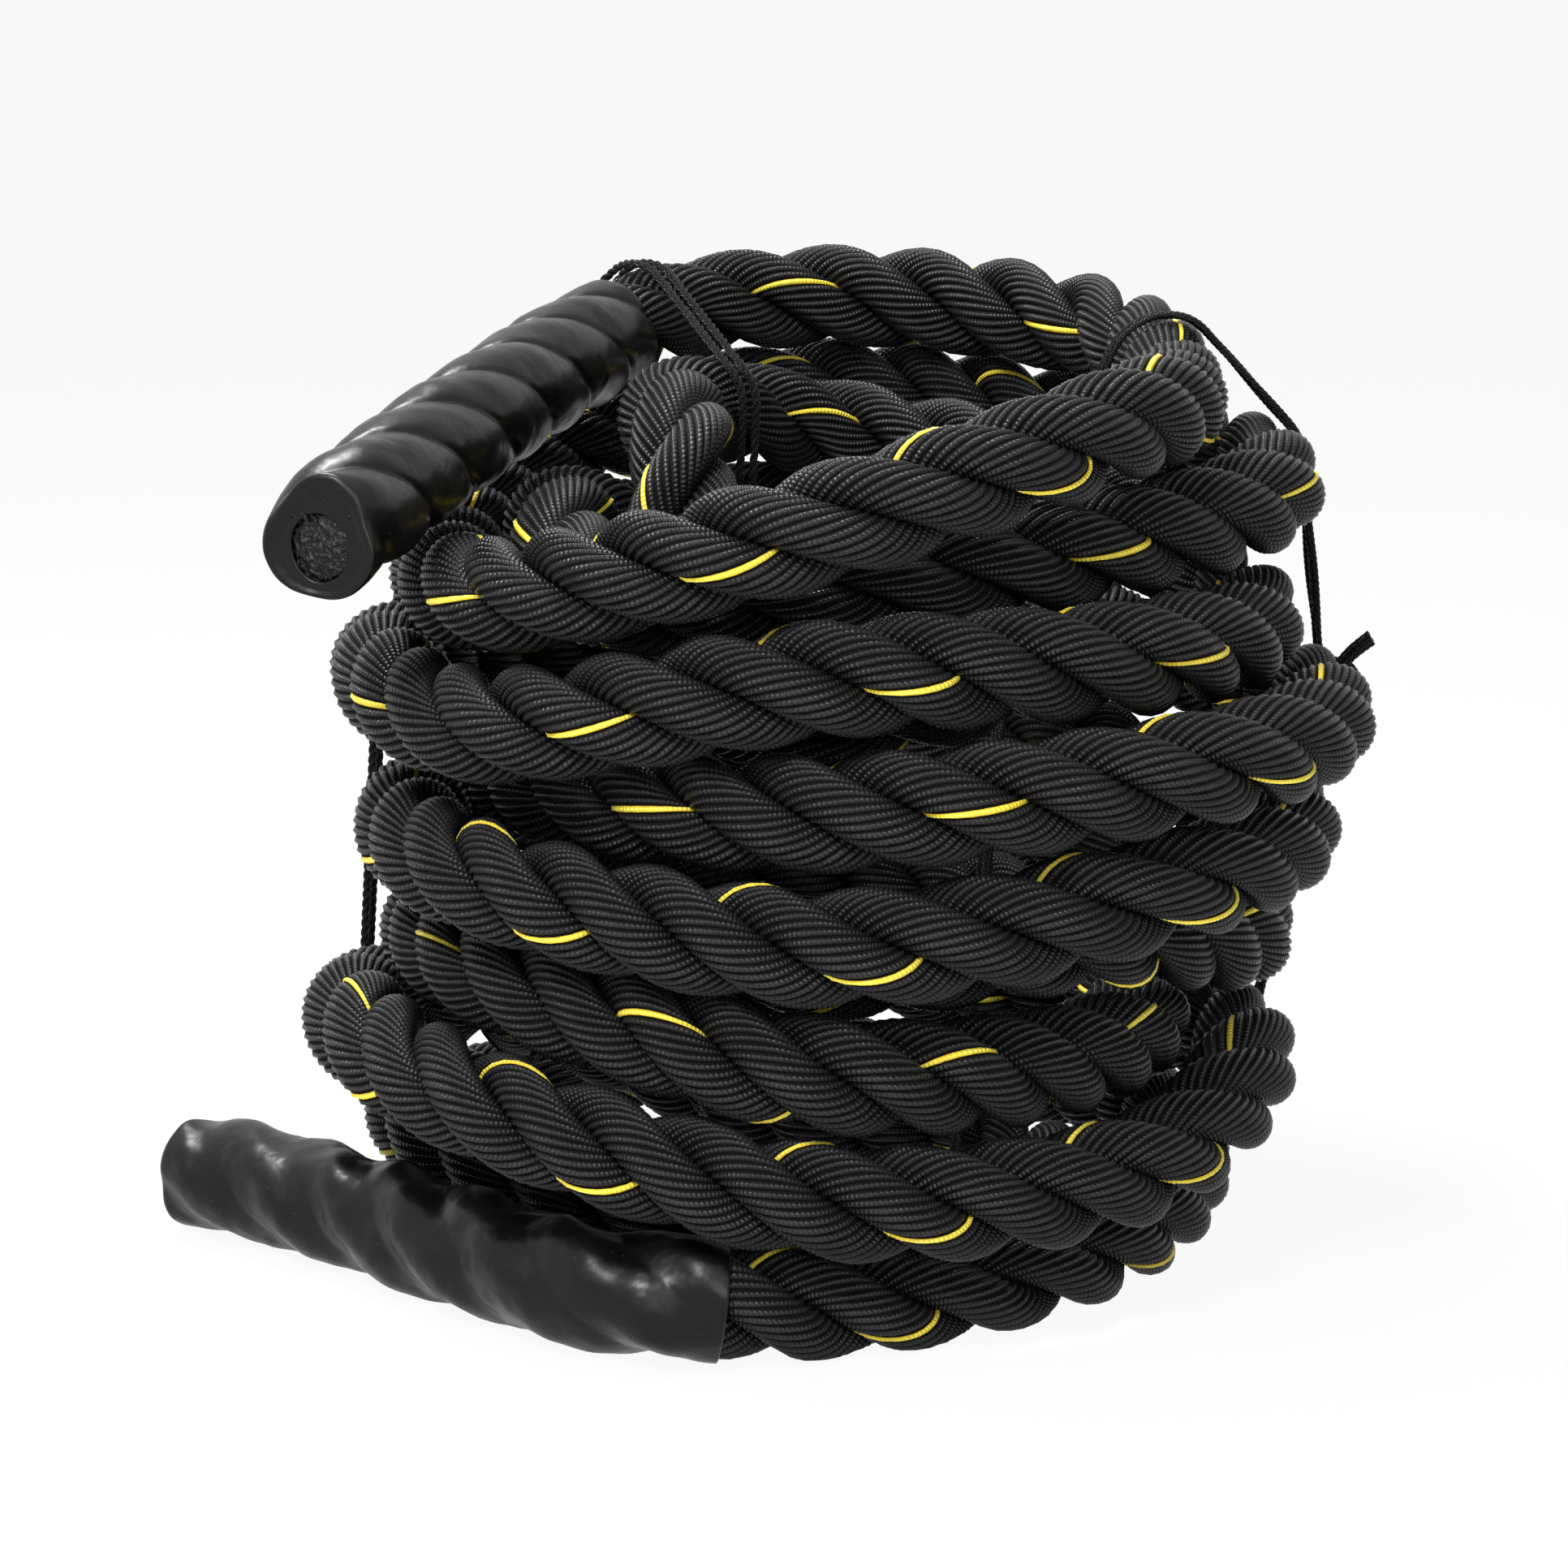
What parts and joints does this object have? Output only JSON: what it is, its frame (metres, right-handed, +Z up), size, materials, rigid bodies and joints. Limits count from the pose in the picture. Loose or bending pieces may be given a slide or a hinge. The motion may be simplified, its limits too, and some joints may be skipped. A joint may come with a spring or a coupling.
{
  "type": "battle rope",
  "caption": "Heavy three-strand training rope tied up in a standing coil, with a shrunk-on plastic grip at each end and two thin ties.",
  "frame": {"origin": "on the floor under the middle of the whole object's box", "axes": "+Z up, +X to the right of the pictured side along the longest width, -Y towards the viewer, at the side where the lower grip leaves the coil"},
  "size_m": [0.4276, 0.3652, 0.332],
  "materials": {
    "rope": "black polyester yarn with a slight sheen and yellow tracer yarns",
    "grip_sleeve": "satin black heat-shrink tube",
    "tie": "black polyester yarn"
  },
  "bodies": {
    "root": {"rope": "rope", "upper_grip_sleeve": "grip_sleeve", "lower_grip_sleeve": "grip_sleeve", "left_tie_cord": "tie", "right_tie_strand": "tie"}
  },
  "joints": []
}
